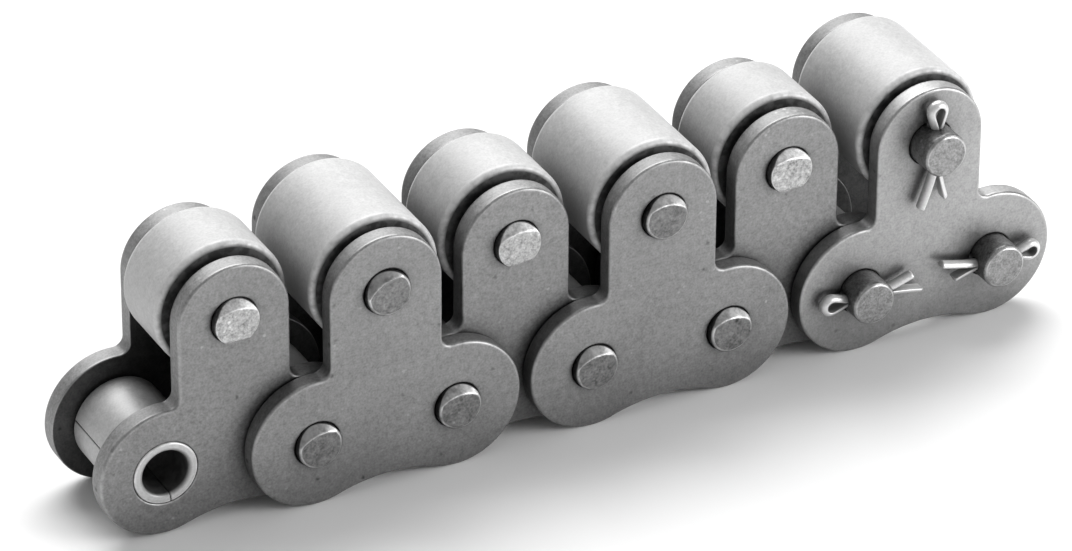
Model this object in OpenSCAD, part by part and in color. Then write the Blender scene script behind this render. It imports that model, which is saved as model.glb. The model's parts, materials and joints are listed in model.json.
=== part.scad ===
// Top roller chain: three inner links and three outer links, hinged at the pins.
// Every link carries a large free-turning roller on lugs above the pin line.
// Frame: X runs along the chain, Y across it, Z up. The origin is the axis of the
// open bush at the left end. The front, -Y, is the side with the cotter pins.

/* [Chain] */
// Distance between neighbouring pins
pitch = 25.4; // [20:0.1:40]
// Number of inner links, each followed by one outer link
pairs = 3; // [1:1:3]
// Height of the top roller axes above the pins
top_h = 25.4; // [20:0.1:40]

/* [Plates] */
// Gap between the round ends of the inner plates that follow each other
inner_end_gap = 2.4; // [0.6:0.1:5]
// Gap between the round ends of the outer plates that follow each other
outer_end_gap = 2; // [0.6:0.1:5]
// Half width of an inner plate's lug, which is also its top radius
inner_lug_r = 9.9; // [7:0.1:13]
// Half width of an outer plate's lug, which is also its top radius
outer_lug_r = 10.1; // [7:0.1:13]
// Thickness of an inner plate
inner_plate_t = 3.3; // [2:0.1:5]
// Thickness of an outer plate
outer_plate_t = 3.1; // [2:0.1:5]
// Radius of the hollow under a plate's waist
waist_r = 28; // [20:1:60]
// Radius of the fillet between a lug and a round end
notch_r = 1.8; // [0.5:0.1:3]
// Clear width between the two inner plates of a link
inner_width = 15.5; // [10:0.1:30]
// Gap between an inner plate and the outer plate beside it
side_gap = 0.45; // [0.4:0.05:1.5]

/* [Pins and bushes] */
// Diameter of every pin
pin_d = 7.9; // [5:0.1:10]
// How far a riveted pin end stands out of its plate
rivet_out = 1.4; // [0.6:0.1:3]
// Width of each sloping flat on a riveted end, seen end on
rivet_flat = 1.3; // [0.4:0.1:2]
// Outer diameter of the bushes and of the sleeves under the top rollers
bush_d = 11.3; // [9:0.1:14]
// How far a bush stands out of the inner plates
bush_proud = 0.1; // [0:0.05:0.2]
// Radial clearance of a pin in its bush
pin_fit = 0.08; // [0.02:0.01:0.1]

/* [Rollers] */
// Diameter of the rollers on the bushes
roller_d = 15.88; // [13:0.1:20]
// Gap between a bush roller's end and the plate beside it
roller_gap = 0.35; // [0.3:0.05:1]
// Rounding at the ends of the bush rollers
roller_round = 0.6; // [0.2:0.1:1]
// Gap between neighbouring top rollers
top_roller_gap = 2.1; // [0.6:0.1:8]
// Gap between an inner link's top roller and the plate beside it
inner_top_side_gap = 1.4; // [0.3:0.1:3]
// Gap between an outer link's top roller and the plate beside it
outer_top_side_gap = 1.1; // [0.3:0.1:3]
// Rounding at the ends of the top rollers
top_roller_round = 1; // [0.2:0.1:2]
// Radial clearance of a roller on its bush or sleeve
roller_fit = 0.08; // [0.02:0.01:0.1]

/* [Connecting link] */
// How far the two bearing pins stand out of the front plate
pin_out = 5; // [4:0.1:8]
// How far the top pin stands out of the front plate
top_pin_out = 5.3; // [4:0.1:9]
// Chamfer round a cottered pin end
pin_chamfer = 0.5; // [0.2:0.1:1]
// Diameter of a cotter pin's shank
cotter_d = 2; // [1:0.1:2.6]
// Radial clearance of a cotter pin in its hole
cotter_fit = 0.1; // [0.05:0.01:0.3]
// Distance from the front plate to the middle of a cotter hole
cotter_out = 1.7; // [1.2:0.1:2.6]
// Width of a cotter pin's eye
eye_w = 4; // [2.6:0.1:5]
// Distance that a cotter pin's eye stands out of the pin
eye_l = 4.9; // [4:0.1:8]
// Distance that a cotter pin's longer leg stands out of the pin
long_leg = 6.8; // [3:0.1:9]
// Distance that a cotter pin's shorter leg stands out of the pin
short_leg = 5; // [3:0.1:9]
// Angle at which each leg is bent away from the shank
leg_angle = 17; // [4:1:30]

/* [Hidden] */
$fn = 96;
SIDES = ["front", "back"];
ENDS = ["left", "right"];
pin_r = pin_d / 2;
bush_r = bush_d / 2;
inner_end_r = (pitch - inner_end_gap) / 2;
outer_end_r = (pitch - outer_end_gap) / 2;
inner_face_y = inner_width / 2;
inner_out_y = inner_face_y + inner_plate_t;
outer_face_y = inner_out_y + side_gap;
outer_out_y = outer_face_y + outer_plate_t;
bush_l = 2 * (inner_out_y + bush_proud);
bush_bore_r = pin_r + pin_fit;
roller_bore_r = bush_r + roller_fit;
roller_l = inner_width - 2 * roller_gap;
top_roller_r = (pitch - top_roller_gap) / 2;
inner_top_roller_l = inner_width - 2 * inner_top_side_gap;
outer_top_roller_l = 2 * (outer_face_y - outer_top_side_gap);
// Small step that keeps joined or cut shapes from only touching along an edge
eps = 0.01;

function inner_name(i) = str("inner_link_", i + 1);
function outer_name(i) = i == pairs - 1 ? "connecting_link" : str("outer_link_", i + 1);
function inner_x(i) = 2 * i * pitch;
function outer_x(i) = (2 * i + 1) * pitch;
function is_last(i) = i == pairs - 1;

// ---- Shapes that the pieces share ----

// Places a shape drawn along Z so that it runs across the chain, its +Z end to the front
module across(x, z = 0) {
    translate([x, 0, z]) rotate([90, 0, 0]) children();
}

// Plate without its holes: two round ends joined by a hollow waist, and a lug on top
module plate_blank(end_r, lug_r, t) {
    for (x = [-pitch / 2, pitch / 2]) translate([x, 0, 0]) cylinder(r = end_r, h = t);
    linear_extrude(t) plate_waist(end_r);
    translate([-lug_r, 0, 0]) cube([2 * lug_r, top_h, t]);
    translate([0, top_h, 0]) cylinder(r = lug_r, h = t);
    for (m = [0, 1]) mirror([m, 0, 0]) linear_extrude(t) notch_fillet(end_r, lug_r);
}

// Web between the round ends, with a hollow underside that meets both ends smoothly
module plate_waist(end_r) {
    reach = end_r + waist_r + eps;
    centre_z = -sqrt(pow(reach, 2) - pow(pitch / 2, 2));
    k = (end_r - eps) / reach;
    meet = [pitch / 2 * (1 - k), centre_z * k];
    difference() {
        polygon([[-pitch / 2, 0], [-meet.x, meet.y], meet, [pitch / 2, 0]]);
        translate([0, centre_z]) circle(r = waist_r);
    }
}

// Fillet in the notch between the lug's right side and the right round end
module notch_fillet(end_r, lug_r) {
    reach = end_r + notch_r + eps;
    centre_x = lug_r + notch_r + eps;
    centre_z = sqrt(pow(reach, 2) - pow(pitch / 2 - centre_x, 2));
    k = (end_r - eps) / reach;
    meet = [pitch / 2 + (centre_x - pitch / 2) * k, centre_z * k];
    difference() {
        polygon([[0, 0], [0, centre_z], [centre_x, centre_z], meet, [pitch / 2, 0]]);
        translate([centre_x, centre_z]) circle(r = notch_r);
    }
}

// A link plate with its three holes; y is how far its inner face is from the chain's middle
module link_plate(x, side, y, t, end_r, lug_r, hole_r) {
    across(x + pitch / 2) translate([0, 0, side == "front" ? y : -y - t]) difference() {
        plate_blank(end_r, lug_r, t);
        for (px = [-pitch / 2, pitch / 2]) translate([px, 0, -eps]) cylinder(r = hole_r, h = t + 2 * eps);
        translate([0, top_h, -eps]) cylinder(r = pin_r, h = t + 2 * eps);
    }
}

// Straight tube across the chain
module tube(outer_r, bore_r, l) {
    difference() {
        cylinder(r = outer_r, h = l, center = true);
        cylinder(r = bore_r, h = l + 2 * eps, center = true);
    }
}

// Tube with rounded outer corners
module roller(outer_r, bore_r, l, round_r) {
    difference() {
        rotate_extrude() {
            translate([0, -l / 2]) square([outer_r - round_r, l]);
            translate([0, -l / 2 + round_r]) square([outer_r, l - 2 * round_r]);
            for (s = [-1, 1]) translate([outer_r - round_r, s * (l / 2 - round_r)]) circle(r = round_r);
        }
        cylinder(r = bore_r, h = l + 2 * eps, center = true);
    }
}

// The metal that the staking tool pushes away on a riveted end, which ends at z
module staked_flats(z) {
    for (m = [0, 1]) mirror([0, m, 0]) rotate([90, 0, 90])
        linear_extrude(pin_d + 2, center = true)
            polygon([[pin_r - rivet_flat, z], [pin_r, z - rivet_out], [pin_r + 1, z - rivet_out],
                     [pin_r + 1, z + 1], [pin_r - rivet_flat, z + 1]]);
}

// Pin riveted at both ends; plate_y is how far out its plates reach
module riveted_pin(plate_y) {
    l = plate_y + rivet_out;
    difference() {
        cylinder(r = pin_r, h = 2 * l, center = true);
        staked_flats(l);
        mirror([0, 0, 1]) staked_flats(l);
    }
}

// Pin riveted at the back, with a chamfered end and a cotter hole at the front
module cottered_pin(out, hole_turn) {
    back = outer_out_y + rivet_out;
    front = outer_out_y + out;
    difference() {
        rotate_extrude() polygon([[0, -back], [pin_r, -back], [pin_r, front - pin_chamfer],
                                  [pin_r - pin_chamfer, front], [0, front]]);
        mirror([0, 0, 1]) staked_flats(back);
        translate([0, 0, outer_out_y + cotter_out]) rotate([0, 0, hole_turn]) rotate([0, 90, 0])
            cylinder(r = cotter_d / 2 + cotter_fit, h = pin_d + 2, center = true);
    }
}

// Round with a point at distance d along X, its sides tangent to the round
module teardrop(r, d) {
    a = acos(r / d);
    circle(r = r);
    polygon([[0, 0], [r * cos(a), -r * sin(a)], [d, 0], [r * cos(a), r * sin(a)]]);
}

// Split cotter pin through the origin: eye towards -X, legs spread towards +X.
// Only its shank and the eye's narrow neck are inside the pin's hole.
module cotter_pin() {
    wire = cotter_d / 2;
    eye_r = eye_w / 2;
    eye_x = pin_r + eye_l - eye_r;
    neck_x = pin_r - 0.3;
    root_x = pin_r + 0.35;
    translate([-neck_x - wire, 0, 0]) rotate([0, 90, 0])
        cylinder(r = wire, h = neck_x + root_x + 2 * wire);
    rotate([90, 0, 0]) linear_extrude(cotter_d, center = true) translate([-eye_x, 0]) difference() {
        teardrop(eye_r, eye_x - neck_x);
        teardrop(eye_r - wire, eye_x - neck_x - wire);
    }
    for (leg = [[long_leg, -1], [short_leg, 1]])
        translate([root_x, 0, 0]) rotate([0, -leg[1] * leg_angle, 0])
            translate([0, -wire, leg[1] > 0 ? 0 : -wire]) cube([leg[0], cotter_d, wire]);
}

// ---- Pieces of an inner link ----

module inner_plate(i, side) {
    color("slategray")
        link_plate(inner_x(i), side, inner_face_y, inner_plate_t, inner_end_r, inner_lug_r, bush_r);
}

module bush(i, end) {
    color("silver") across(inner_x(i) + (end == "right" ? pitch : 0)) tube(bush_r, bush_bore_r, bush_l);
}

module bush_roller(i, end) {
    color("darkgray") across(inner_x(i) + (end == "right" ? pitch : 0))
        roller(roller_d / 2, roller_bore_r, roller_l, roller_round);
}

module inner_top_pin(i) {
    color("silver") across(inner_x(i) + pitch / 2, top_h) riveted_pin(inner_out_y);
}

module inner_top_sleeve(i) {
    color("gray") across(inner_x(i) + pitch / 2, top_h) tube(bush_r, pin_r, inner_width);
}

module inner_top_roller(i) {
    color("gainsboro") across(inner_x(i) + pitch / 2, top_h)
        roller(top_roller_r, roller_bore_r, inner_top_roller_l, top_roller_round);
}

// ---- Pieces of an outer link; the last one is the connecting link ----

module outer_plate(i, side) {
    color(is_last(i) ? "lightgray" : "dimgray")
        link_plate(outer_x(i), side, outer_face_y, outer_plate_t, outer_end_r, outer_lug_r, pin_r);
}

module bearing_pin(i, end) {
    color("darkgray") across(outer_x(i) + (end == "right" ? pitch : 0)) {
        if (is_last(i)) cottered_pin(pin_out, 0);
        else riveted_pin(outer_out_y);
    }
}

module outer_top_pin(i) {
    color("darkgray") across(outer_x(i) + pitch / 2, top_h) {
        if (is_last(i)) cottered_pin(top_pin_out, 90);
        else riveted_pin(outer_out_y);
    }
}

module outer_top_sleeve(i) {
    color("gray") across(outer_x(i) + pitch / 2, top_h) tube(bush_r, pin_r, 2 * outer_face_y);
}

module outer_top_roller(i) {
    color("gainsboro") across(outer_x(i) + pitch / 2, top_h)
        roller(top_roller_r, roller_bore_r, outer_top_roller_l, top_roller_round);
}

// Cotter pin in the connecting link, at pin place x, z, turned so that its eye points away
module cotter(x, z, turn) {
    color("whitesmoke") translate([x, -(outer_out_y + cotter_out), z]) rotate([0, turn, 0])
        cotter_pin();
}

// ---- The assembly ----

for (i = [0 : pairs - 1]) {
    inner = inner_name(i);
    outer = outer_name(i);
    for (s = SIDES) {
        inner_plate(i, s);
        outer_plate(i, s);
    }
    for (e = ENDS) {
        bush(i, e);
        bush_roller(i, e);
        bearing_pin(i, e);
    }
    inner_top_pin(i);
    inner_top_sleeve(i);
    inner_top_roller(i);
    outer_top_pin(i);
    outer_top_sleeve(i);
    outer_top_roller(i);
}
last_x = outer_x(pairs - 1);
cotter(last_x, 0, 0);  // connecting_link_left_cotter
cotter(last_x + pitch, 0, 180);  // connecting_link_right_cotter
cotter(last_x + pitch / 2, top_h, 90);  // connecting_link_top_cotter
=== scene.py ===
import json
import math

import bmesh
import bpy
from bpy.props import FloatProperty, FloatVectorProperty, PointerProperty
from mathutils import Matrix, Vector, noise
from mathutils.geometry import tessellate_polygon


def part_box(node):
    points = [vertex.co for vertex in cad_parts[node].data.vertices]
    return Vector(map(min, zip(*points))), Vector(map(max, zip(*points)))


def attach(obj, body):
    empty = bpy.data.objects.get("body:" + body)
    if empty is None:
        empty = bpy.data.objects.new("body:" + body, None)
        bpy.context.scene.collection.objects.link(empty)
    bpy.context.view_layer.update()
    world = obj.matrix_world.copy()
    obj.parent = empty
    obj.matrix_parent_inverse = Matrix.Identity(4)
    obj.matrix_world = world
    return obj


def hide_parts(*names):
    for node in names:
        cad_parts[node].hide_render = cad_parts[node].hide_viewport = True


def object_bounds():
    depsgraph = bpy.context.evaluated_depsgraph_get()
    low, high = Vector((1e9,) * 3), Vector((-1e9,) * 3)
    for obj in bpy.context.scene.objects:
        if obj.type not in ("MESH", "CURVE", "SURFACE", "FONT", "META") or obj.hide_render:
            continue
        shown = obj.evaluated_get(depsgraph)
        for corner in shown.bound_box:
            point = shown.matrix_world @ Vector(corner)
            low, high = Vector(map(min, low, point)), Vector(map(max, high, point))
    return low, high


bl_info = {
    "name": "Top roller chain",
    "version": (1, 0, 0),
    "blender": (4, 5, 0),
    "location": "View3D > Sidebar > Chain",
    "description": "Builds the plates, bushes, pins, rollers and cotter pins of a top roller chain",
    "category": "Add Mesh",
}

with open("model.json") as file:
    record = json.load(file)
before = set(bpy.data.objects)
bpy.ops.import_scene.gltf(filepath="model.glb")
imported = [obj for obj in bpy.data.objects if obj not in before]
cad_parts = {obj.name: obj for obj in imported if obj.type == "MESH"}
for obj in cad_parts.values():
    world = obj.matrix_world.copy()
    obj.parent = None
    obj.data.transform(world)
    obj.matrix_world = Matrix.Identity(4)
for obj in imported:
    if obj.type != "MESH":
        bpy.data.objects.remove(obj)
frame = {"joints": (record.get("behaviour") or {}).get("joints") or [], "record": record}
CAD_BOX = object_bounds()

MM = 0.001
LINKS = ["inner_link_1", "outer_link_1", "inner_link_2", "outer_link_2", "inner_link_3",
         "connecting_link"]
INNER_LINKS = LINKS[0::2]
OUTER_LINKS = LINKS[1::2]
JOINTS = {joint["name"]: joint for joint in frame["joints"]}
PITCH = JOINTS["inner_link_1_to_outer_link_1_hinge"]["pos_m"][0]
TOP_H = JOINTS["inner_link_1_top_roller_spin"]["pos_m"][2]
ACROSS = Vector((0, 1, 0))
UP = Vector((0, 0, 1))
ALONG = Vector((1, 0, 0))


def node_size(node):
    low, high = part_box(node)
    return high - low


def node_middle(node):
    low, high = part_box(node)
    return (low + high) / 2


PIN_R = node_size("outer_link_1_left_pin").x / 2
BUSH_R = node_size("inner_link_1_left_bush").x / 2
BUSH_BORE_R = frame["record"]["mounts"][0]["dims"]["r_mm"] * MM
RUNNING_GAP = BUSH_BORE_R - PIN_R


# ---- What a user can change ----

class ChainShape(bpy.types.PropertyGroup):
    """Small shapes that the pressing, turning and staking leave on the pieces"""
    waist_r: FloatProperty(name="Waist radius", description="Radius of the hollow under a plate's waist",
                           default=28 * MM, unit="LENGTH")
    notch_r: FloatProperty(name="Notch radius", description="Radius between a lug and a round end",
                           default=1.8 * MM, unit="LENGTH")
    plate_front_round: FloatProperty(name="Plate face rounding", description="Rolled edge, outer face",
                                     default=0.5 * MM, unit="LENGTH")
    plate_back_round: FloatProperty(name="Plate back rounding", description="Tumbled edge, inner face",
                                    default=0.2 * MM, unit="LENGTH")
    # The gap is drawn; its dark line is deepened by painted shade on the hole's rolled edge
    press_gap: FloatProperty(name="Press gap", description="Oily line round a pin or bush in its plate",
                             default=0.08 * MM, unit="LENGTH")
    hole_round: FloatProperty(name="Hole rounding", description="Rolled edge round a plate's hole",
                              default=0.3 * MM, unit="LENGTH")
    roller_round: FloatProperty(name="Top roller rounding", description="Rounding at a top roller's ends",
                                default=1.0 * MM, unit="LENGTH")
    small_roller_round: FloatProperty(name="Bush roller rounding",
                                      description="Rounding at a bush roller's ends",
                                      default=0.6 * MM, unit="LENGTH")
    seam_half: FloatProperty(name="Seam half width", description="Half width of a curled piece's seam",
                             default=0.16 * MM, unit="LENGTH")
    seam_depth: FloatProperty(name="Seam depth", description="Depth of a curled piece's seam",
                              default=0.22 * MM, unit="LENGTH")
    crescent: FloatProperty(name="Staked crescent", description="Widest part of the slope on a riveted end",
                            default=1.35 * MM, unit="LENGTH")
    cotter_wire: FloatProperty(name="Cotter wire", description="Radius of a cotter pin's half-round wire",
                               default=1.0 * MM, unit="LENGTH")
    cotter_eye: FloatProperty(name="Cotter eye", description="Width across a cotter pin's eye",
                              default=4.0 * MM, unit="LENGTH")


class ChainFinish(bpy.types.PropertyGroup):
    """Colours of the steels, before wear"""
    inner_plate: FloatVectorProperty(name="Inner plates", description="Steel of the inner plates",
                                     subtype="COLOR", default=(0.285, 0.285, 0.285), min=0, max=1)
    outer_plate: FloatVectorProperty(name="Outer plates", description="Steel of the outer plates",
                                     subtype="COLOR", default=(0.285, 0.285, 0.285), min=0, max=1)
    connecting_plate: FloatVectorProperty(name="Connecting plate",
                                          description="Steel of the loose front plate",
                                          subtype="COLOR", default=(0.38, 0.38, 0.38), min=0, max=1)
    roller: FloatVectorProperty(name="Rollers", description="Steel of the rollers",
                                subtype="COLOR", default=(0.5, 0.5, 0.5), min=0, max=1)
    bush: FloatVectorProperty(name="Bushes", description="Steel of the bushes and sleeves",
                              subtype="COLOR", default=(0.56, 0.56, 0.56), min=0, max=1)
    dark_pin: FloatVectorProperty(name="Outer pins", description="Hardened steel of the outer links' pins",
                                  subtype="COLOR", default=(0.2, 0.2, 0.2), min=0, max=1)
    light_pin: FloatVectorProperty(name="Inner top pins", description="Steel of the inner links' top pins",
                                   subtype="COLOR", default=(0.46, 0.46, 0.46), min=0, max=1)
    sawn_pin: FloatVectorProperty(name="Cottered pins", description="Steel of the connecting link's pins",
                                  subtype="COLOR", default=(0.28, 0.28, 0.28), min=0, max=1)
    cotter: FloatVectorProperty(name="Cotter pins", description="Bright drawn wire",
                                subtype="COLOR", default=(0.7, 0.7, 0.7), min=0, max=1)


class ChainStudio(bpy.types.PropertyGroup):
    """Camera, lights and floor"""
    azimuth: FloatProperty(name="Azimuth", description="Camera's turn about the vertical",
                           default=math.radians(-28.17), subtype="ANGLE")
    elevation: FloatProperty(name="Elevation", description="Camera's height over the horizon",
                             default=math.radians(31.69), subtype="ANGLE")
    roll: FloatProperty(name="Roll", description="Camera's lean",
                        default=math.radians(0.33), subtype="ANGLE")
    distance: FloatProperty(name="Distance", description="From the camera to the point it aims at",
                            default=1.0751, unit="LENGTH")
    aim_x: FloatProperty(name="Aim along", description="Aimed point along the chain",
                         default=0.07306, unit="LENGTH")
    aim_z: FloatProperty(name="Aim height", description="Aimed point over the pins",
                         default=0.01037, unit="LENGTH")
    lens: FloatProperty(name="Lens", description="Focal length in millimetres", default=218.3)
    floor: FloatVectorProperty(name="Floor", description="Colour of the floor", subtype="COLOR",
                               default=(0.93, 0.93, 0.93), min=0, max=1)


# ---- Meshes ----

class Skin:
    """A mesh in the making, whose points say how much an edge is rubbed, how much painted shade they carry
    and how dark a seam's line is drawn, and whether they are on a sheared wall; each is from 0 to 1"""

    def __init__(self):
        self.bm = bmesh.new()
        layers = self.bm.verts.layers.float
        self.edge = layers.new("edge")
        # Painted shade on faces between pieces, pin barrels, roller ends and bores, and the dark line of a
        # seam
        self.shade_and_seam = layers.new("shade_and_seam")
        self.wall = layers.new("wall")

    def point(self, place, edge=0.0, shade_and_seam=0.0, wall=0.0):
        vert = self.bm.verts.new(place)
        vert[self.edge] = edge
        vert[self.shade_and_seam] = shade_and_seam
        vert[self.wall] = wall
        return vert

    def ring(self, places, edge=0.0, shade_and_seam=0.0, wall=0.0):
        return [self.point(place, edge, shade_and_seam, wall) for place in places]

    def loft(self, rings, closed=True):
        """Quads between neighbouring rings, each a loop of the same number of points"""
        for near, far in zip(rings, rings[1:]):
            count = len(near)
            for i in range(count if closed else count - 1):
                j = (i + 1) % count
                self.bm.faces.new((near[i], near[j], far[j], far[i]))

    def fill(self, loops):
        """Flat face inside the first loop and outside the others"""
        flat = [vert for loop in loops for vert in loop]
        for tri in tessellate_polygon([[vert.co for vert in loop] for loop in loops]):
            self.bm.faces.new([flat[i] for i in tri])

    def finish(self, node, body, material):
        """Makes the piece that stands for a CAD node and rides on its body"""
        bmesh.ops.recalc_face_normals(self.bm, faces=self.bm.faces)
        mesh = bpy.data.meshes.new(node + "_detail")
        self.bm.to_mesh(mesh)
        self.bm.free()
        mesh.shade_smooth()
        piece = bpy.data.objects.new(node + "_detail", mesh)
        bpy.context.scene.collection.objects.link(piece)
        mesh.materials.append(material)
        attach(piece, body)
        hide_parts(node)
        return piece


def arc(centre, radius, start, end, steps):
    """Points of an arc, both ends included; angles in radians"""
    return [(centre[0] + radius * math.cos(start + (end - start) * i / steps),
             centre[1] + radius * math.sin(start + (end - start) * i / steps)) for i in range(steps + 1)]


def plate_outline(end_r, lug_r, waist_r, notch_r, inset):
    """Outline of a plate about its middle, drawn this far inside its true edge"""
    half = PITCH / 2
    waist_z = -math.sqrt((end_r + waist_r) ** 2 - half ** 2)
    notch_x = lug_r + notch_r
    notch_z = math.sqrt((end_r + notch_r) ** 2 - (notch_x - half) ** 2)
    to_waist = math.atan2(waist_z, -half)
    to_notch = math.atan2(notch_z, notch_x - half)
    right = arc((half, 0), end_r - inset, to_waist, to_notch, 70)
    right += arc((notch_x, notch_z), notch_r + inset, to_notch - math.pi, -math.pi, 12)[1:]
    rise = 8
    side = lug_r - inset
    right += [(side, notch_z + (TOP_H - notch_z) * i / rise) for i in range(1, rise)]
    right += arc((0, TOP_H), side, 0, math.pi / 2, 30)
    left = [(-x, z) for x, z in reversed(right[:-1])]
    waist_open = math.pi + to_waist
    waist = arc((0, waist_z), waist_r + inset, math.pi - waist_open, waist_open, 24)[1:-1]
    return right + left + waist


def circle(centre, radius, steps=64, start=0.0):
    return [(centre[0] + radius * math.cos(start + math.tau * i / steps),
             centre[1] + radius * math.sin(start + math.tau * i / steps)) for i in range(steps)]


def rounding(radius, steps):
    """(inset, depth, edge) down a quarter round, from the face to the wall"""
    end_edge = 0.35
    rows = []
    for i in range(steps + 1):
        turn = math.pi / 2 * i / steps
        edge = math.sin(2 * turn) ** 0.5 if 0 < i < steps else end_edge
        rows.append((radius * (1 - math.sin(turn)), radius * (1 - math.cos(turn)), edge))
    return rows


def plate(node, body, material, shape, hole_r):
    """One link plate: a rolled edge on the outer face, a sharper one on the inner face"""
    low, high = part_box(node)
    middle = (low + high) / 2
    end_r = -low.z
    lug_r = high.z - TOP_H
    outward = 1 if middle.y > 0 else -1
    face_y = high.y if outward > 0 else low.y
    thick = high.y - low.y
    skin = Skin()

    def seat(points, depth, edge=0.0, shade_and_seam=0.0, wall=0.0):
        places = [(middle.x + x, face_y - outward * depth, z) for x, z in points]
        return skin.ring(places, edge, shade_and_seam, wall)

    support = 0.12 * MM
    # Painted shade on the inner face, between the two plates of a link
    inner_face_shade = 0.5
    front_r, back_r, edge_r = shape.plate_front_round, shape.plate_back_round, shape.hole_round
    rows = [(front_r + support, 0, 0, 0)]
    rows += [(inset, depth, edge, 0) for inset, depth, edge in rounding(front_r, 5)]
    rows += [(0, thick * part, 0, 1) for part in (0.2, 0.4, 0.6, 0.8)]
    rows += [(inset, thick - depth, edge, 0) for inset, depth, edge in reversed(rounding(back_r, 3))]
    rows += [(back_r + support, thick, 0, 0)]
    rings = []
    for inset, depth, edge, wall in rows:
        outline = plate_outline(end_r, lug_r, shape.waist_r, shape.notch_r, inset)
        rings.append(seat(outline, depth, edge, inner_face_shade if depth == thick else 0, wall))
    skin.loft(rings)

    faces = [[rings[0]], [rings[-1]]]
    for centre, radius in (((-PITCH / 2, 0), hole_r), ((PITCH / 2, 0), hole_r), ((0, TOP_H), PIN_R)):
        rolled = rounding(edge_r, 4)
        rows = [(edge_r + support, 0, 0, 0)]
        # The fourth value is painted shade, darker down the rolled edge into the gap round a pin or bush
        rows += [(inset, depth, edge, (depth / edge_r) ** 2) for inset, depth, edge in rolled]
        rows += [(inset, thick - depth, edge, (depth / edge_r) ** 2)
                 for inset, depth, edge in reversed(rolled)]
        rows += [(edge_r + support, thick, 0, inner_face_shade)]
        hole = [seat(circle(centre, radius + shape.press_gap + inset), depth, edge, shade_and_seam)
                for inset, depth, edge, shade_and_seam in rows]
        skin.loft(hole)
        faces[0].append(hole[0])
        faces[1].append(hole[-1])
    for loops in faces:
        skin.fill(loops)
    return skin.finish(node, body, material)


def lathe(skin, centre, axis, profile, steps, seam_at=None, shape=None):
    """Turns a closed profile about an axis through centre. Each row is (along, radius, edge, painted shade,
    turn), where turn is the angle of its surface from outwards to along. A seam is a groove at the
    angle seam_at, drawn dark along its line"""
    def from_seam(a):
        return abs((a - seam_at + math.pi) % math.tau - math.pi)

    side = UP.cross(axis)
    angles = [math.tau * i / steps for i in range(steps)]
    if seam_at is not None:
        half = shape.seam_half / max(row[1] for row in profile)
        near = [seam_at + half * part for part in (-2, -1, -0.6, -0.3, 0, 0.3, 0.6, 1, 2)]
        angles = [a for a in angles if from_seam(a) > 2.4 * half] + near
        angles.sort(key=lambda a: (a - seam_at + math.pi) % math.tau)
    rings = []
    for along, radius, edge, shade_and_seam, turn in profile:
        ring = []
        for a in angles:
            dip = 0.0
            if seam_at is not None:
                dip = max(0.0, 1 - from_seam(a) / half) ** 0.7
            outwards = UP * math.cos(a) + side * math.sin(a)
            place = centre + axis * along + outwards * radius
            if dip:
                place -= (outwards * math.cos(turn) + axis * math.sin(turn)) * shape.seam_depth * dip
            # The darker of the row's painted shade and the seam's dark line
            ring.append(skin.point(place, edge, max(shade_and_seam, dip)))
        rings.append(ring)
    rings.append(rings[0])
    skin.loft(rings)


def tube_profile(outer_r, bore_r, length, outer_round, bore_round, end_shade=0.0):
    """Closed profile of a tube whose four corners are rounded; its bore, and its end faces by the given
    amount, are darkened as painted shade
    """
    half = length / 2
    support = 0.1 * MM
    fine_corner = 0.4 * MM
    bore_wear = 0.2

    def corner(end, radius, round_r, outwards, to_face):
        """outwards is 1 at the outside of the tube and -1 at its bore"""
        rows = []
        for inset, depth, edge in rounding(round_r, 6 if round_r > fine_corner else 4):
            turn = math.atan2(1 - inset / round_r, 1 - depth / round_r)
            # Painted shade: the outer rounding darkens toward the end face, and the bore's rounding toward
            # the bore
            if outwards > 0:
                shade_and_seam = end_shade * (1 - depth / round_r) ** 6
            else:
                shade_and_seam = max(end_shade, (depth / round_r) ** 0.35)
                edge *= bore_wear
            rows.append((end * (half - depth), radius - outwards * inset, edge, shade_and_seam,
                         end * (math.pi / 2 - outwards * turn)))
        return list(reversed(rows)) if to_face else rows

    belly_half = half - outer_round - support
    belly = [(belly_half * (i / 3 - 1), outer_r, 0, 0, 0) for i in range(7)]
    quarter = math.pi / 2
    right = corner(1, outer_r, outer_round, 1, True)
    face = (outer_r - outer_round - support, bore_r + bore_round + support)
    right += [(half, radius, 0, end_shade, quarter) for radius in face]
    right += corner(1, bore_r, bore_round, -1, False)
    left = corner(-1, bore_r, bore_round, -1, True)
    left += [(-half, radius, 0, end_shade, -quarter) for radius in reversed(face)]
    left += corner(-1, outer_r, outer_round, 1, False)
    return belly + right + [(0, bore_r, 0, 1, math.pi)] + left


def soft_min(values, blend):
    """The lowest value, with the crossings between values rounded off over the blend length"""
    low = min(values)
    return low - blend * math.log(sum(math.exp((low - value) / blend) for value in values))


def pin_end(kind, shape, turn, proud, seed):
    """Height of a pin's end over its plate, at a distance and angle from its axis. A staked end has a
    sloping crescent pressed into it on one side, and a staked flat one a short flat on the other side.
    The rim is the width of the chamfer, and flatness how straight the crescent's inner line is"""
    rim, flatness = {"sawn": (0.45, 1), "staked": (0.36, 0.72), "staked_flat": (0.12, 0.62)}[kind]
    rim *= MM
    shift = shape.crescent / 2
    steep = 0.95 * proud / shape.crescent

    def height(radius, angle):
        x, z = radius * math.cos(angle), radius * math.sin(angle)
        uneven = noise.noise(Vector((x * 900, z * 900, seed))) * MM
        levels = [proud - 0.02 * MM + uneven * 0.02, proud + (PIN_R - rim - radius) * 1.1 + uneven * 0.05]
        if kind != "sawn":
            across = x * math.sin(turn) + z * math.cos(turn)
            aside = x * math.cos(turn) - z * math.sin(turn)
            from_low = math.hypot(aside * flatness, across + shift)
            levels.append(proud + (PIN_R - 0.1 * MM - shift - from_low) * steep + uneven * 0.06)
            if kind == "staked_flat":
                levels.append(proud + (PIN_R - 0.75 * MM + across) * 2.2)
        return soft_min(levels, 0.03 * MM)

    return height


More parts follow.
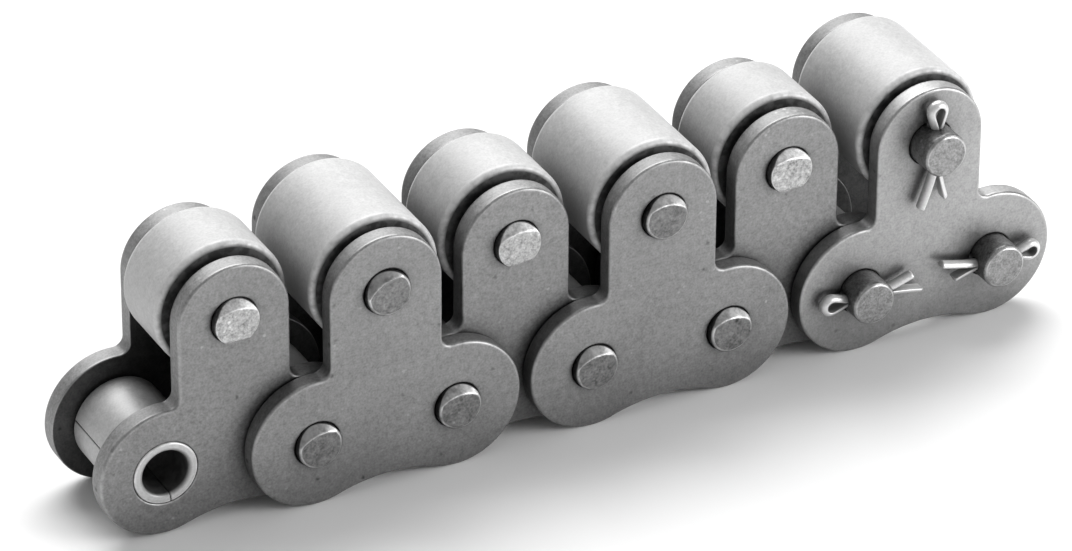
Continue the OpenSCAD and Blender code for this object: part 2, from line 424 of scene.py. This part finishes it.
def pin_cap(skin, centre, outward, height, barrel_shade, rows=24, steps=96):
    """Closes a pin with an end whose surface follows the height; gives its rim ring, which carries painted
    shade. A ridge is rubbed bright, and so is the start of a slope"""
    side = UP.cross(outward)
    step = 0.06 * MM
    rings = []
    for k in range(1, rows + 1):
        radius = PIN_R * (k / rows) ** 0.8
        ring = []
        for i in range(steps):
            angle = math.tau * i / steps
            level = height(radius, angle)
            inner, outer = height(max(radius - step, 0), angle), height(radius + step, angle)
            bend = max(0.0, (2 * level - inner - outer) / step ** 2 * 0.14 * MM)
            slope = (inner - outer) / (2 * step)
            edge = min(1.0, bend + 0.4 * min(1.0, max(0.0, slope - 0.3) * 3))
            # Painted shade on the cap's outer ring, where the end meets the barrel
            shade_and_seam = barrel_shade if k == rows else 0.0
            place = centre + outward * level + (UP * math.sin(angle) + side * math.cos(angle)) * radius
            ring.append(skin.point(place, 0.0 if shade_and_seam else edge, shade_and_seam))
        rings.append(ring)
    skin.loft(rings)
    hub = skin.point(centre + outward * height(0, 0))
    for i in range(steps):
        skin.bm.faces.new((hub, rings[0][i], rings[0][(i + 1) % steps]))
    return rings[-1]


def pin(node, body, material, shape, front, back):
    """A round pin; front and back each give (kind of end, turn of its crescent)"""
    low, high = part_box(node)
    middle = (low + high) / 2
    skin = Skin()
    rims = []
    plate_y = {-1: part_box(body + "_front_plate")[0].y, 1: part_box(body + "_back_plate")[1].y}
    # Painted shade on each barrel and cap rim beside its plate; a sawn end gets less
    barrel_shade = {-1: 0.2 if front[0] == "sawn" else 0.75, 1: 0.75}
    for way, (kind, turn) in ((-1, front), (1, back)):
        tip = low.y if way < 0 else high.y
        base = Vector((middle.x, plate_y[way], middle.z))
        proud = abs(tip - plate_y[way])
        height = pin_end(kind, shape, turn, proud, middle.x * 1000 + way)
        rims.append(pin_cap(skin, base, Vector((0, way, 0)), height, barrel_shade[way]))
    # The back cap's ring runs the other way round, so it is matched to the front one
    front_rim, back_rim = rims
    count = len(back_rim)
    back_rim = [back_rim[(count // 2 - i) % count] for i in range(count)]
    barrel = []
    for part, way in ((0.015, -1), (0.06, -1), (0.94, 1), (0.985, 1)):
        barrel.append([skin.point(near.co.lerp(far.co, part), shade_and_seam=barrel_shade[way])
                       for near, far in zip(front_rim, back_rim)])
    skin.loft([front_rim] + barrel + [back_rim])
    return skin.finish(node, body, material)


def drill(piece, centre, axis, radius, length):
    """Cuts a round hole through a piece"""
    cutter_mesh = bpy.data.meshes.new("drill")
    bm = bmesh.new()
    bmesh.ops.create_cone(bm, cap_ends=True, segments=40, radius1=radius, radius2=radius, depth=length)
    bmesh.ops.rotate(bm, verts=bm.verts, matrix=UP.rotation_difference(axis).to_matrix())
    bmesh.ops.translate(bm, verts=bm.verts, vec=centre)
    bm.to_mesh(cutter_mesh)
    bm.free()
    cutter = bpy.data.objects.new("drill", cutter_mesh)
    bpy.context.scene.collection.objects.link(cutter)
    cut = piece.modifiers.new("cotter_hole", "BOOLEAN")
    cut.operation = "DIFFERENCE"
    cut.solver = "EXACT"
    cut.object = cutter
    scene_now = bpy.context.evaluated_depsgraph_get()
    drilled = bpy.data.meshes.new_from_object(piece.evaluated_get(scene_now))
    piece.modifiers.clear()
    old = piece.data
    piece.data = drilled
    bpy.data.meshes.remove(old)
    bpy.data.objects.remove(cutter)
    bpy.data.meshes.remove(cutter_mesh)


# ---- Cotter pins ----

def cotter_path(shape, eye_reach, legs):
    """Inner line of the folded wire from one leg's tip round the eye to the other's, as (along, aside)"""
    inner_r = shape.cotter_eye / 2 - shape.cotter_wire
    eye_x = -(eye_reach - shape.cotter_eye / 2)
    neck_x = -PIN_R * 0.93
    hole_x = PIN_R * 0.9
    root = PIN_R * 0.98
    open_by = math.acos(inner_r / abs(eye_x - neck_x))
    seam = 0.02 * MM

    def leg(length, lean, side):
        return [(root + (length - root) * t, side * (seam + (length - root) * (math.tan(lean) * t ** 1.25)))
                for t in (i / 24 for i in range(25))]

    path = list(reversed(leg(*legs[0], 1)))
    path += [(hole_x + (neck_x - hole_x) * i / 10, seam) for i in range(11)]
    path += arc((eye_x, 0), inner_r, open_by, math.tau - open_by, 40)
    path += [(neck_x + (hole_x - neck_x) * i / 10, -seam) for i in range(11)]
    path += leg(*legs[1], -1)
    return smooth_line(resample(path, 0.16 * MM), 5)


def resample(path, step):
    """The same line with a point at each step along it"""
    out = [path[0]]
    left = step
    for (x0, z0), (x1, z1) in zip(path, path[1:]):
        run = math.hypot(x1 - x0, z1 - z0)
        while run > left:
            t = left / run
            x0, z0 = x0 + (x1 - x0) * t, z0 + (z1 - z0) * t
            out.append((x0, z0))
            run -= left
            left = step
        left -= run
    out.append(path[-1])
    return out


def smooth_line(path, passes):
    """The same line with its corners eased, its two ends kept"""
    for _ in range(passes):
        eased = [((a[0] + 2 * b[0] + c[0]) / 4, (a[1] + 2 * b[1] + c[1]) / 4)
                 for a, b, c in zip(path, path[1:], path[2:])]
        path = [path[0]] + eased + [path[-1]]
    return path


def cotter(node, pin_node, toward_legs, aside, shape, legs, material):
    """A half-round wire folded into an eye, its two legs bent apart past the pin"""
    low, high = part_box(node)
    centre = node_middle(pin_node)
    centre.y = (low.y + high.y) / 2
    eye_reach = max((low - centre).dot(-toward_legs), (high - centre).dot(-toward_legs))
    path = cotter_path(shape, eye_reach, legs)
    wire = shape.cotter_wire
    skin = Skin()
    corner = 0.12 * MM
    half_round = arc((0, 0), wire, math.pi / 2, -math.pi / 2, 12)
    section = [(outward, sideways, 0.0) for outward, sideways in half_round]
    section += [(0.0, -wire + corner, 1.0), (0.0, 0.0, 0.0), (0.0, wire - corner, 1.0)]
    rings = []
    for i, (u, v) in enumerate(path):
        before = path[max(i - 1, 0)]
        after = path[min(i + 1, len(path) - 1)]
        run = Vector((after[0] - before[0], after[1] - before[1])).normalized()
        out = Vector((run.y, -run.x))
        end_gap = min(i, len(path) - 1 - i)
        slim = 1.0 if end_gap > 1 else (0.82, 0.95)[end_gap]
        ring = []
        for outward, sideways, edge in section:
            place = (centre + toward_legs * (u + out.x * outward * slim)
                     + aside * (v + out.y * outward * slim) + ACROSS * sideways * slim)
            ring.append(skin.point(place, edge))
        rings.append(ring)
    skin.loft(rings)
    for ring in (rings[0], rings[-1]):
        skin.fill([ring])
    return skin.finish(node, "connecting_link", material)


# ---- Finishes ----

class Tree:
    """Short words for adding and linking nodes"""

    def __init__(self, tree):
        self.tree = tree

    def add(self, kind, **settings):
        node = self.tree.nodes.new(kind)
        for key, value in settings.items():
            setattr(node, key, value)
        return node

    def link(self, source, target):
        self.tree.links.new(source, target)

    def math(self, operation, first, second=None, clamp=False):
        node = self.add("ShaderNodeMath", operation=operation, use_clamp=clamp)
        for socket, value in zip(node.inputs, (first, second)):
            if isinstance(value, (int, float)):
                socket.default_value = value
            elif value is not None:
                self.link(value, socket)
        return node.outputs[0]

    def noise(self, place, scale, detail=2.0, stretch=None):
        """Noise in the piece's own coordinates; scale counts features in a metre"""
        if stretch is not None:
            mapping = self.add("ShaderNodeMapping")
            mapping.inputs["Scale"].default_value = stretch
            self.link(place, mapping.inputs["Vector"])
            place = mapping.outputs["Vector"]
        node = self.add("ShaderNodeTexNoise")
        node.inputs["Scale"].default_value = scale
        node.inputs["Detail"].default_value = detail
        self.link(place, node.inputs["Vector"])
        return node.outputs["Fac"]

    def ramp(self, value, low, high, start=0.0, end=1.0):
        """Maps the range low to high onto start to end, held outside it"""
        node = self.add("ShaderNodeMapRange")
        for name, number in (("From Min", low), ("From Max", high), ("To Min", start), ("To Max", end)):
            node.inputs[name].default_value = number
        self.link(value, node.inputs["Value"])
        return node.outputs["Result"]


def effect_group(name, inputs, outputs, build):
    """A shader node group, built the first time that it is asked for"""
    tree = bpy.data.node_groups.get(name)
    if tree is not None:
        return tree
    tree = bpy.data.node_groups.new(name, "ShaderNodeTree")
    for label, default in inputs:
        socket = tree.interface.new_socket(label, in_out="INPUT", socket_type="NodeSocketFloat")
        socket.default_value = default
    for label in outputs:
        tree.interface.new_socket(label, in_out="OUTPUT", socket_type="NodeSocketFloat")
    nodes = Tree(tree)
    build(nodes, nodes.add("NodeGroupInput").outputs, nodes.add("NodeGroupOutput").inputs)
    return tree


def build_grain(nodes, given, out):
    """Tumbled steel: fine grain, broad clouds, a few dark pits and a few bright nicks"""
    place = nodes.add("ShaderNodeTexCoord").outputs["Object"]
    fine = nodes.noise(place, 2600, 2)
    coarse = nodes.noise(place, 900, 2)
    cloud = nodes.noise(place, 90, 2)
    grain = nodes.math("ADD", nodes.math("MULTIPLY", fine, 0.6), nodes.math("MULTIPLY", coarse, 0.4))
    nodes.link(grain, out["Grain"])
    nodes.link(cloud, out["Cloud"])
    spots = []
    for scale, chance_scale, low, name in ((420, 260, 0.63, "Pit"), (640, 190, 0.6, "Nick")):
        cells = nodes.add("ShaderNodeTexVoronoi")
        cells.inputs["Scale"].default_value = scale
        nodes.link(place, cells.inputs["Vector"])
        chance = nodes.ramp(nodes.noise(place, chance_scale, 1), low, low + 0.07)
        spot = nodes.math("MULTIPLY", nodes.ramp(cells.outputs["Distance"], 0.24, 0.1), chance)
        spots.append(nodes.math("MULTIPLY", spot, given["Marks"]))
        nodes.link(spots[-1], out[name])
    height = nodes.math("SUBTRACT", nodes.math("MULTIPLY", grain, given["Depth"]), spots[0])
    nodes.link(height, out["Height"])


def build_wear_and_shade(nodes, given, out):
    """Bright rubbed edges, and painted shade with the dark lines of seams, from the mesh's own values
    broken up by noise; its sheared walls; and painted shade from how far the pieces round it hide a place"""
    crevice_reach = 14 * MM
    place = nodes.add("ShaderNodeTexCoord").outputs["Object"]
    edge = nodes.add("ShaderNodeAttribute", attribute_name="edge").outputs["Fac"]
    # Painted shade, and the dark line of a seam, from the mesh's own values
    shade_and_seam = nodes.add("ShaderNodeAttribute", attribute_name="shade_and_seam").outputs["Fac"]
    wall = nodes.add("ShaderNodeAttribute", attribute_name="wall").outputs["Fac"]
    broken = nodes.ramp(nodes.noise(place, 700, 3), 0.35, 0.6, 0.3, 1.0)
    rubbed = nodes.math("MULTIPLY", nodes.math("POWER", edge, 1.3), broken)
    nodes.link(nodes.math("MULTIPLY", rubbed, given["Amount"], clamp=True), out["Rubbed"])
    patchy = nodes.ramp(broken, 0.5, 1.0, 0.85, 1.0)
    nodes.link(nodes.math("MULTIPLY", shade_and_seam, patchy, clamp=True), out["Shade and seam"])
    nodes.link(wall, out["Wall"])
    # Painted shade: the more the pieces round a place hide it, the darker its colour
    hidden = nodes.add("ShaderNodeAmbientOcclusion", samples=12)
    hidden.inputs["Distance"].default_value = crevice_reach
    nodes.link(nodes.ramp(hidden.outputs["AO"], 0.95, 0.15), out["Crevice"])


def build_turning(nodes, given, out):
    """Fine marks that run round a turned or rolled piece"""
    place = nodes.add("ShaderNodeTexCoord").outputs["Object"]
    bands = nodes.noise(place, 1, 3, stretch=(25, 2600, 25))
    broad = nodes.noise(place, 1, 2, stretch=(12, 420, 12))
    marks = nodes.math("ADD", nodes.math("MULTIPLY", bands, 0.6), nodes.math("MULTIPLY", broad, 0.4))
    nodes.link(nodes.math("MULTIPLY", marks, given["Amount"]), out["Marks"])


def steel(name, color, roughness, metallic=1.0, grain=0.25, depth=0.5, marks=0.0, wear=0.4,
          wear_color=0.6, wall_tone=0.85, crevice=0.35, turning=0.0, bump=0.035):
    """A steel finish. Grain, marks and wear change the colour, roughness and surface. wall_tone and
    crevice are the share of the colour that is left on a sheared wall and, as painted shade, in a crevice"""
    # Share of the colour left under the mesh's painted shade and on a seam's line
    shade_and_seam_tone = 0.08
    material = bpy.data.materials.new(name)
    material.use_nodes = True
    nodes = Tree(material.node_tree)
    shader = nodes.tree.nodes["Principled BSDF"]
    shader.inputs["Metallic"].default_value = metallic

    grains = nodes.add("ShaderNodeGroup", node_tree=effect_group(
        "Steel grain", [("Depth", 1.0), ("Marks", 1.0)],
        ["Grain", "Cloud", "Pit", "Nick", "Height"], build_grain))
    grains.inputs["Depth"].default_value = depth
    grains.inputs["Marks"].default_value = marks
    # Rubbed edges, sheared walls, seams' dark lines, and painted shade in crevices and between pieces
    wear_and_shade = nodes.add("ShaderNodeGroup", node_tree=effect_group(
        "Wear, seams and painted shade", [("Amount", 1.0)], ["Rubbed", "Shade and seam", "Wall", "Crevice"], build_wear_and_shade))
    wear_and_shade.inputs["Amount"].default_value = wear
    turned = nodes.add("ShaderNodeGroup", node_tree=effect_group(
        "Turning marks", [("Amount", 1.0)], ["Marks"], build_turning))
    turned.inputs["Amount"].default_value = turning

    shades = [nodes.ramp(grains.outputs["Grain"], 0.3, 0.7, 1 - grain, 1 + grain),
              nodes.ramp(grains.outputs["Cloud"], 0.3, 0.7, 0.94, 1.06),
              nodes.ramp(grains.outputs["Pit"], 0, 1, 1.0, 0.3),
              nodes.ramp(grains.outputs["Nick"], 0, 1, 1.0, 1.5),
              nodes.math("ADD", turned.outputs["Marks"], 1 - turning * 0.5),
              nodes.ramp(wear_and_shade.outputs["Wall"], 0, 1, 1.0, wall_tone),
              # Painted shade in crevices, where the pieces round a place hide it
              nodes.ramp(wear_and_shade.outputs["Crevice"], 0, 1, 1.0, crevice),
              # Painted shade on faces between pieces, pin barrels, roller ends and bores, and seams' dark
              # lines
              nodes.ramp(wear_and_shade.outputs["Shade and seam"], 0, 1, 1.0, shade_and_seam_tone)]
    tone = shades[0]
    for shade in shades[1:]:
        tone = nodes.math("MULTIPLY", tone, shade)
    plain = nodes.add("ShaderNodeMix", data_type="RGBA", blend_type="MULTIPLY")
    plain.inputs["Factor"].default_value = 1.0
    plain.inputs["A"].default_value = (*color, 1)
    nodes.link(tone, plain.inputs["B"])
    rubbed = nodes.add("ShaderNodeMix", data_type="RGBA")
    rubbed.inputs["B"].default_value = (wear_color, wear_color, wear_color, 1)
    nodes.link(plain.outputs["Result"], rubbed.inputs["A"])
    nodes.link(wear_and_shade.outputs["Rubbed"], rubbed.inputs["Factor"])
    nodes.link(rubbed.outputs["Result"], shader.inputs["Base Color"])

    dull = nodes.ramp(grains.outputs["Grain"], 0.3, 0.7, roughness - 0.05, roughness + 0.07)
    dull = nodes.math("ADD", dull, nodes.math("MULTIPLY", wear_and_shade.outputs["Wall"], 0.12))
    polished = nodes.math("MULTIPLY", wear_and_shade.outputs["Rubbed"], -0.18)
    nodes.link(nodes.math("ADD", dull, polished, clamp=True), shader.inputs["Roughness"])
    lathe_marks = nodes.math("MULTIPLY", turned.outputs["Marks"], 0.5)
    relief = nodes.math("ADD", grains.outputs["Height"], lathe_marks)
    surface = nodes.add("ShaderNodeBump")
    surface.inputs["Strength"].default_value = 0.45
    surface.inputs["Distance"].default_value = bump * MM
    nodes.link(relief, surface.inputs["Height"])
    nodes.link(surface.outputs["Normal"], shader.inputs["Normal"])
    return material


# ---- Operators: one for each group of like pieces ----

def chain_shape():
    return bpy.context.scene.chain_shape


def chain_finish():
    return bpy.context.scene.chain_finish


class CHAIN_OT_inner_plates(bpy.types.Operator):
    """Adds the front and back plates of the inner links"""
    bl_idname = "chain.inner_plates"
    bl_label = "Inner plates"

    def execute(self, context):
        material = steel("inner_plate_steel", chain_finish().inner_plate, 0.52, grain=0.3, marks=0.8,
                         wear=0.28, wall_tone=1.15)
        for link in INNER_LINKS:
            for side in ("front", "back"):
                plate(f"{link}_{side}_plate", link, material, chain_shape(), BUSH_R)
        return {"FINISHED"}


class CHAIN_OT_outer_plates(bpy.types.Operator):
    """Adds the plates of the outer links and the connecting link"""
    bl_idname = "chain.outer_plates"
    bl_label = "Outer plates"

    def execute(self, context):
        dark = steel("outer_plate_steel", chain_finish().outer_plate, 0.52, grain=0.3, marks=0.8,
                     wear=0.28, wall_tone=1.05)
        light = steel("connecting_plate_steel", chain_finish().connecting_plate, 0.47, grain=0.24,
                      depth=0.4, marks=0.5, wall_tone=1.15, wear=0.35)
        for link in OUTER_LINKS:
            for side in ("front", "back"):
                loose = link == OUTER_LINKS[-1] and side == "front"
                plate(f"{link}_{side}_plate", link, light if loose else dark, chain_shape(), PIN_R)
        return {"FINISHED"}


def bush_steel():
    """The finish that bushes and sleeves share"""
    return steel("bush_steel", chain_finish().bush, 0.45, metallic=0.35, grain=0.12,
                 wear=0.8, wear_color=0.9, turning=0.06)


class CHAIN_OT_bushes(bpy.types.Operator):
    """Adds the curled bushes that are pressed into the inner plates"""
    bl_idname = "chain.bushes"
    bl_label = "Bushes"

    def execute(self, context):
        material = bush_steel()
        seam_at = math.radians(188)
        for link in INNER_LINKS:
            for end in ("left", "right"):
                node = f"{link}_{end}_bush"
                skin = Skin()
                profile = tube_profile(BUSH_R, BUSH_BORE_R, node_size(node).y,
                                       outer_round=0.35 * MM, bore_round=0.7 * MM)
                lathe(skin, node_middle(node), ACROSS, profile, 96, seam_at, chain_shape())
                skin.finish(node, link, material)
        return {"FINISHED"}


class CHAIN_OT_sleeves(bpy.types.Operator):
    """Adds the sleeves that the top rollers turn on"""
    bl_idname = "chain.sleeves"
    bl_label = "Top sleeves"

    def execute(self, context):
        material = bush_steel()
        for link in LINKS:
            node = f"{link}_top_sleeve"
            skin = Skin()
            profile = tube_profile(BUSH_R, PIN_R, node_size(node).y,
                                   outer_round=0.2 * MM, bore_round=0.2 * MM)
            lathe(skin, node_middle(node), ACROSS, profile, 72)
            skin.finish(node, link, material)
        return {"FINISHED"}


class CHAIN_OT_bush_rollers(bpy.types.Operator):
    """Adds the curled rollers that turn on the bushes"""
    bl_idname = "chain.bush_rollers"
    bl_label = "Bush rollers"

    def execute(self, context):
        material = steel("bush_roller_steel", chain_finish().roller, 0.5, metallic=0.4, grain=0.16,
                         crevice=0.5, turning=0.08)
        bore_r = BUSH_R + RUNNING_GAP
        for place, link in enumerate(INNER_LINKS):
            for end in ("left", "right"):
                node = f"{link}_{end}_roller"
                # The seams have come to rest at different turns
                seam_at = math.radians(75 + 130 * place + (40 if end == "right" else 0))
                skin = Skin()
                # The end faces, which face the plates, are darkened as painted shade
                profile = tube_profile(node_size(node).x / 2, bore_r, node_size(node).y,
                                       outer_round=chain_shape().small_roller_round,
                                       bore_round=0.3 * MM, end_shade=0.8)
                lathe(skin, node_middle(node), ACROSS, profile, 96, seam_at, chain_shape())
                skin.finish(node, node, material)
        return {"FINISHED"}


class CHAIN_OT_top_rollers(bpy.types.Operator):
    """Adds the large rollers that carry the load"""
    bl_idname = "chain.top_rollers"
    bl_label = "Top rollers"

    def execute(self, context):
        material = steel("top_roller_steel", chain_finish().roller, 0.55, metallic=0.18, grain=0.16,
                         wear=0.6, wear_color=0.8, crevice=0.4, turning=0.05)
        bore_r = BUSH_R + RUNNING_GAP
        for link in LINKS:
            node = f"{link}_top_roller"
            skin = Skin()
            # The end faces, which face the plates, are darkened as painted shade
            profile = tube_profile(node_size(node).x / 2, bore_r, node_size(node).y,
                                   outer_round=chain_shape().roller_round,
                                   bore_round=0.4 * MM, end_shade=1.0)
            lathe(skin, node_middle(node), ACROSS, profile, 144)
            skin.finish(node, node, material)
        return {"FINISHED"}


class CHAIN_OT_riveted_pins(bpy.types.Operator):
    """Adds the pins whose ends are staked over on both sides"""
    bl_idname = "chain.riveted_pins"
    bl_label = "Riveted pins"

    def execute(self, context):
        dark = steel("pin_steel", chain_finish().dark_pin, 0.5, grain=0.5, marks=1.0, wear=1.0,
                     wear_color=0.85)
        light = steel("top_pin_steel", chain_finish().light_pin, 0.52, grain=0.55, marks=1.0, wear=0.8,
                      wear_color=0.85)
        for place, link in enumerate(INNER_LINKS):
            turn = math.radians((2, -4, 3)[place])
            pin(f"{link}_top_pin", link, light, chain_shape(),
                ("staked_flat", turn), ("staked_flat", -turn))
        turns = {"left": (-14, -8), "right": (-4, 2), "top": (-26, 6)}
        for place, link in enumerate(OUTER_LINKS[:-1]):
            for end in ("left", "right", "top"):
                turn = math.radians(turns[end][place])
                pin(f"{link}_{end}_pin", link, dark, chain_shape(),
                    ("staked", turn), ("staked", -turn))
        return {"FINISHED"}


class CHAIN_OT_cottered_pins(bpy.types.Operator):
    """Adds the connecting link's pins, drilled for their cotter pins"""
    bl_idname = "chain.cottered_pins"
    bl_label = "Cottered pins"

    def execute(self, context):
        material = steel("connecting_pin_steel", chain_finish().sawn_pin, 0.45, grain=0.5, marks=1.0,
                         wear=0.9, wear_color=0.7)
        link = OUTER_LINKS[-1]
        hole_r = chain_shape().cotter_wire + 0.1 * MM
        for end, along in (("left", ALONG), ("right", ALONG), ("top", UP)):
            piece = pin(f"{link}_{end}_pin", link, material, chain_shape(),
                        ("sawn", 0.0), ("staked", math.radians(5)))
            centre = node_middle(f"{link}_{end}_pin")
            centre.y = node_middle(f"{link}_{end}_cotter").y
            drill(piece, centre, along, hole_r, PIN_R * 3)
        return {"FINISHED"}


class CHAIN_OT_cotters(bpy.types.Operator):
    """Adds the split cotter pins of the connecting link"""
    bl_idname = "chain.cotters"
    bl_label = "Cotter pins"

    def execute(self, context):
        material = steel("cotter_steel", chain_finish().cotter, 0.36, metallic=0.5, grain=0.1,
                         depth=0.2, wear=0.3, wear_color=0.9, bump=0.01)
        link = OUTER_LINKS[-1]
        layout = {
            "left": (ALONG, UP, ((9.0 * MM, math.radians(16)), (10.8 * MM, math.radians(10)))),
            "right": (-ALONG, -UP, ((8.3 * MM, math.radians(15)), (10.9 * MM, math.radians(13)))),
            "top": (-UP, ALONG, ((10.2 * MM, math.radians(14)), (11.3 * MM, math.radians(18)))),
        }
        for end, (toward_legs, aside, legs) in layout.items():
            cotter(f"{link}_{end}_cotter", f"{link}_{end}_pin", toward_legs, aside, chain_shape(),
                   legs, material)
        return {"FINISHED"}


def softbox(name, place, target, width, height, power):
    """A rectangular light at a place, turned to a target"""
    light = bpy.data.lights.new(name, "AREA")
    light.shape = "RECTANGLE"
    light.size = width
    light.size_y = height
    light.energy = power
    lamp = bpy.data.objects.new(name, light)
    lamp.location = place
    lamp.rotation_euler = (Vector(target) - Vector(place)).to_track_quat("-Z", "Y").to_euler()
    bpy.context.scene.collection.objects.link(lamp)


class CHAIN_OT_stage(bpy.types.Operator):
    """Adds the floor, the studio lights and the camera"""
    bl_idname = "chain.stage"
    bl_label = "Stage"

    def execute(self, context):
        studio = context.scene.chain_studio
        aim = Vector((studio.aim_x, 0, studio.aim_z))
        self.add_floor(studio)
        softbox("back_light", (0.35, 0.9, 1.3), aim, width=1.5, height=1.1, power=33)
        softbox("right_light", (0.75, -0.6, 0.3), aim, width=0.5, height=0.4, power=6)
        world = bpy.data.worlds.new("studio")
        world.use_nodes = True
        sky = world.node_tree.nodes["Background"]
        sky.inputs["Color"].default_value = (0.8, 0.8, 0.8, 1)
        sky.inputs["Strength"].default_value = 0.42
        context.scene.world = world
        context.scene.view_settings.view_transform = "Standard"
        self.add_camera(studio, aim)
        return {"FINISHED"}

    def add_floor(self, studio):
        mesh = bpy.data.meshes.new("floor")
        reach = 3.0
        floor_z = CAD_BOX[0][2]
        mesh.from_pydata([(-reach, -reach, floor_z), (reach, -reach, floor_z), (reach, reach, floor_z),
                          (-reach, reach, floor_z)], [], [(0, 1, 2, 3)])
        floor = bpy.data.objects.new("floor", mesh)
        bpy.context.scene.collection.objects.link(floor)
        paint = bpy.data.materials.new("floor_paint")
        paint.use_nodes = True
        shader = paint.node_tree.nodes["Principled BSDF"]
        shader.inputs["Base Color"].default_value = (*studio.floor, 1)
        shader.inputs["Roughness"].default_value = 0.9
        mesh.materials.append(paint)

    def add_camera(self, studio, aim):
        back = Vector((math.sin(studio.azimuth) * math.cos(studio.elevation),
                       -math.cos(studio.azimuth) * math.cos(studio.elevation), math.sin(studio.elevation)))
        lens = bpy.data.cameras.new("camera")
        lens.lens = studio.lens
        lens.clip_start = 0.05
        lens.clip_end = 20
        camera = bpy.data.objects.new("camera", lens)
        camera.location = aim + back * studio.distance
        turn = (-back).to_track_quat("-Z", "Y")
        camera.rotation_euler = turn.to_euler()
        camera.rotation_euler.rotate_axis("Z", studio.roll)
        bpy.context.scene.collection.objects.link(camera)
        bpy.context.scene.camera = camera


class CHAIN_PT_panel(bpy.types.Panel):
    """Buttons that build the chain, piece by piece"""
    bl_idname = "CHAIN_PT_panel"
    bl_label = "Top roller chain"
    bl_space_type = "VIEW_3D"
    bl_region_type = "UI"
    bl_category = "Chain"

    def draw(self, context):
        for operator in OPERATORS:
            self.layout.operator(operator.bl_idname)


OPERATORS = [CHAIN_OT_inner_plates, CHAIN_OT_outer_plates, CHAIN_OT_bushes, CHAIN_OT_sleeves,
             CHAIN_OT_bush_rollers, CHAIN_OT_top_rollers, CHAIN_OT_riveted_pins, CHAIN_OT_cottered_pins,
             CHAIN_OT_cotters, CHAIN_OT_stage]
GROUPS = {"chain_shape": ChainShape, "chain_finish": ChainFinish, "chain_studio": ChainStudio}


def register():
    for cls in [*GROUPS.values(), *OPERATORS, CHAIN_PT_panel]:
        bpy.utils.register_class(cls)
    for name, cls in GROUPS.items():
        setattr(bpy.types.Scene, name, PointerProperty(type=cls))


def unregister():
    for name in GROUPS:
        delattr(bpy.types.Scene, name)
    for cls in [CHAIN_PT_panel, *reversed(OPERATORS), *GROUPS.values()]:
        bpy.utils.unregister_class(cls)


def main():
    register()
    bpy.ops.chain.inner_plates()
    bpy.ops.chain.outer_plates()
    bpy.ops.chain.bushes()
    bpy.ops.chain.sleeves()
    bpy.ops.chain.bush_rollers()
    bpy.ops.chain.top_rollers()
    bpy.ops.chain.riveted_pins()
    bpy.ops.chain.cottered_pins()
    bpy.ops.chain.cotters()
    bpy.ops.chain.stage()


if __name__ == "__main__":
    main()
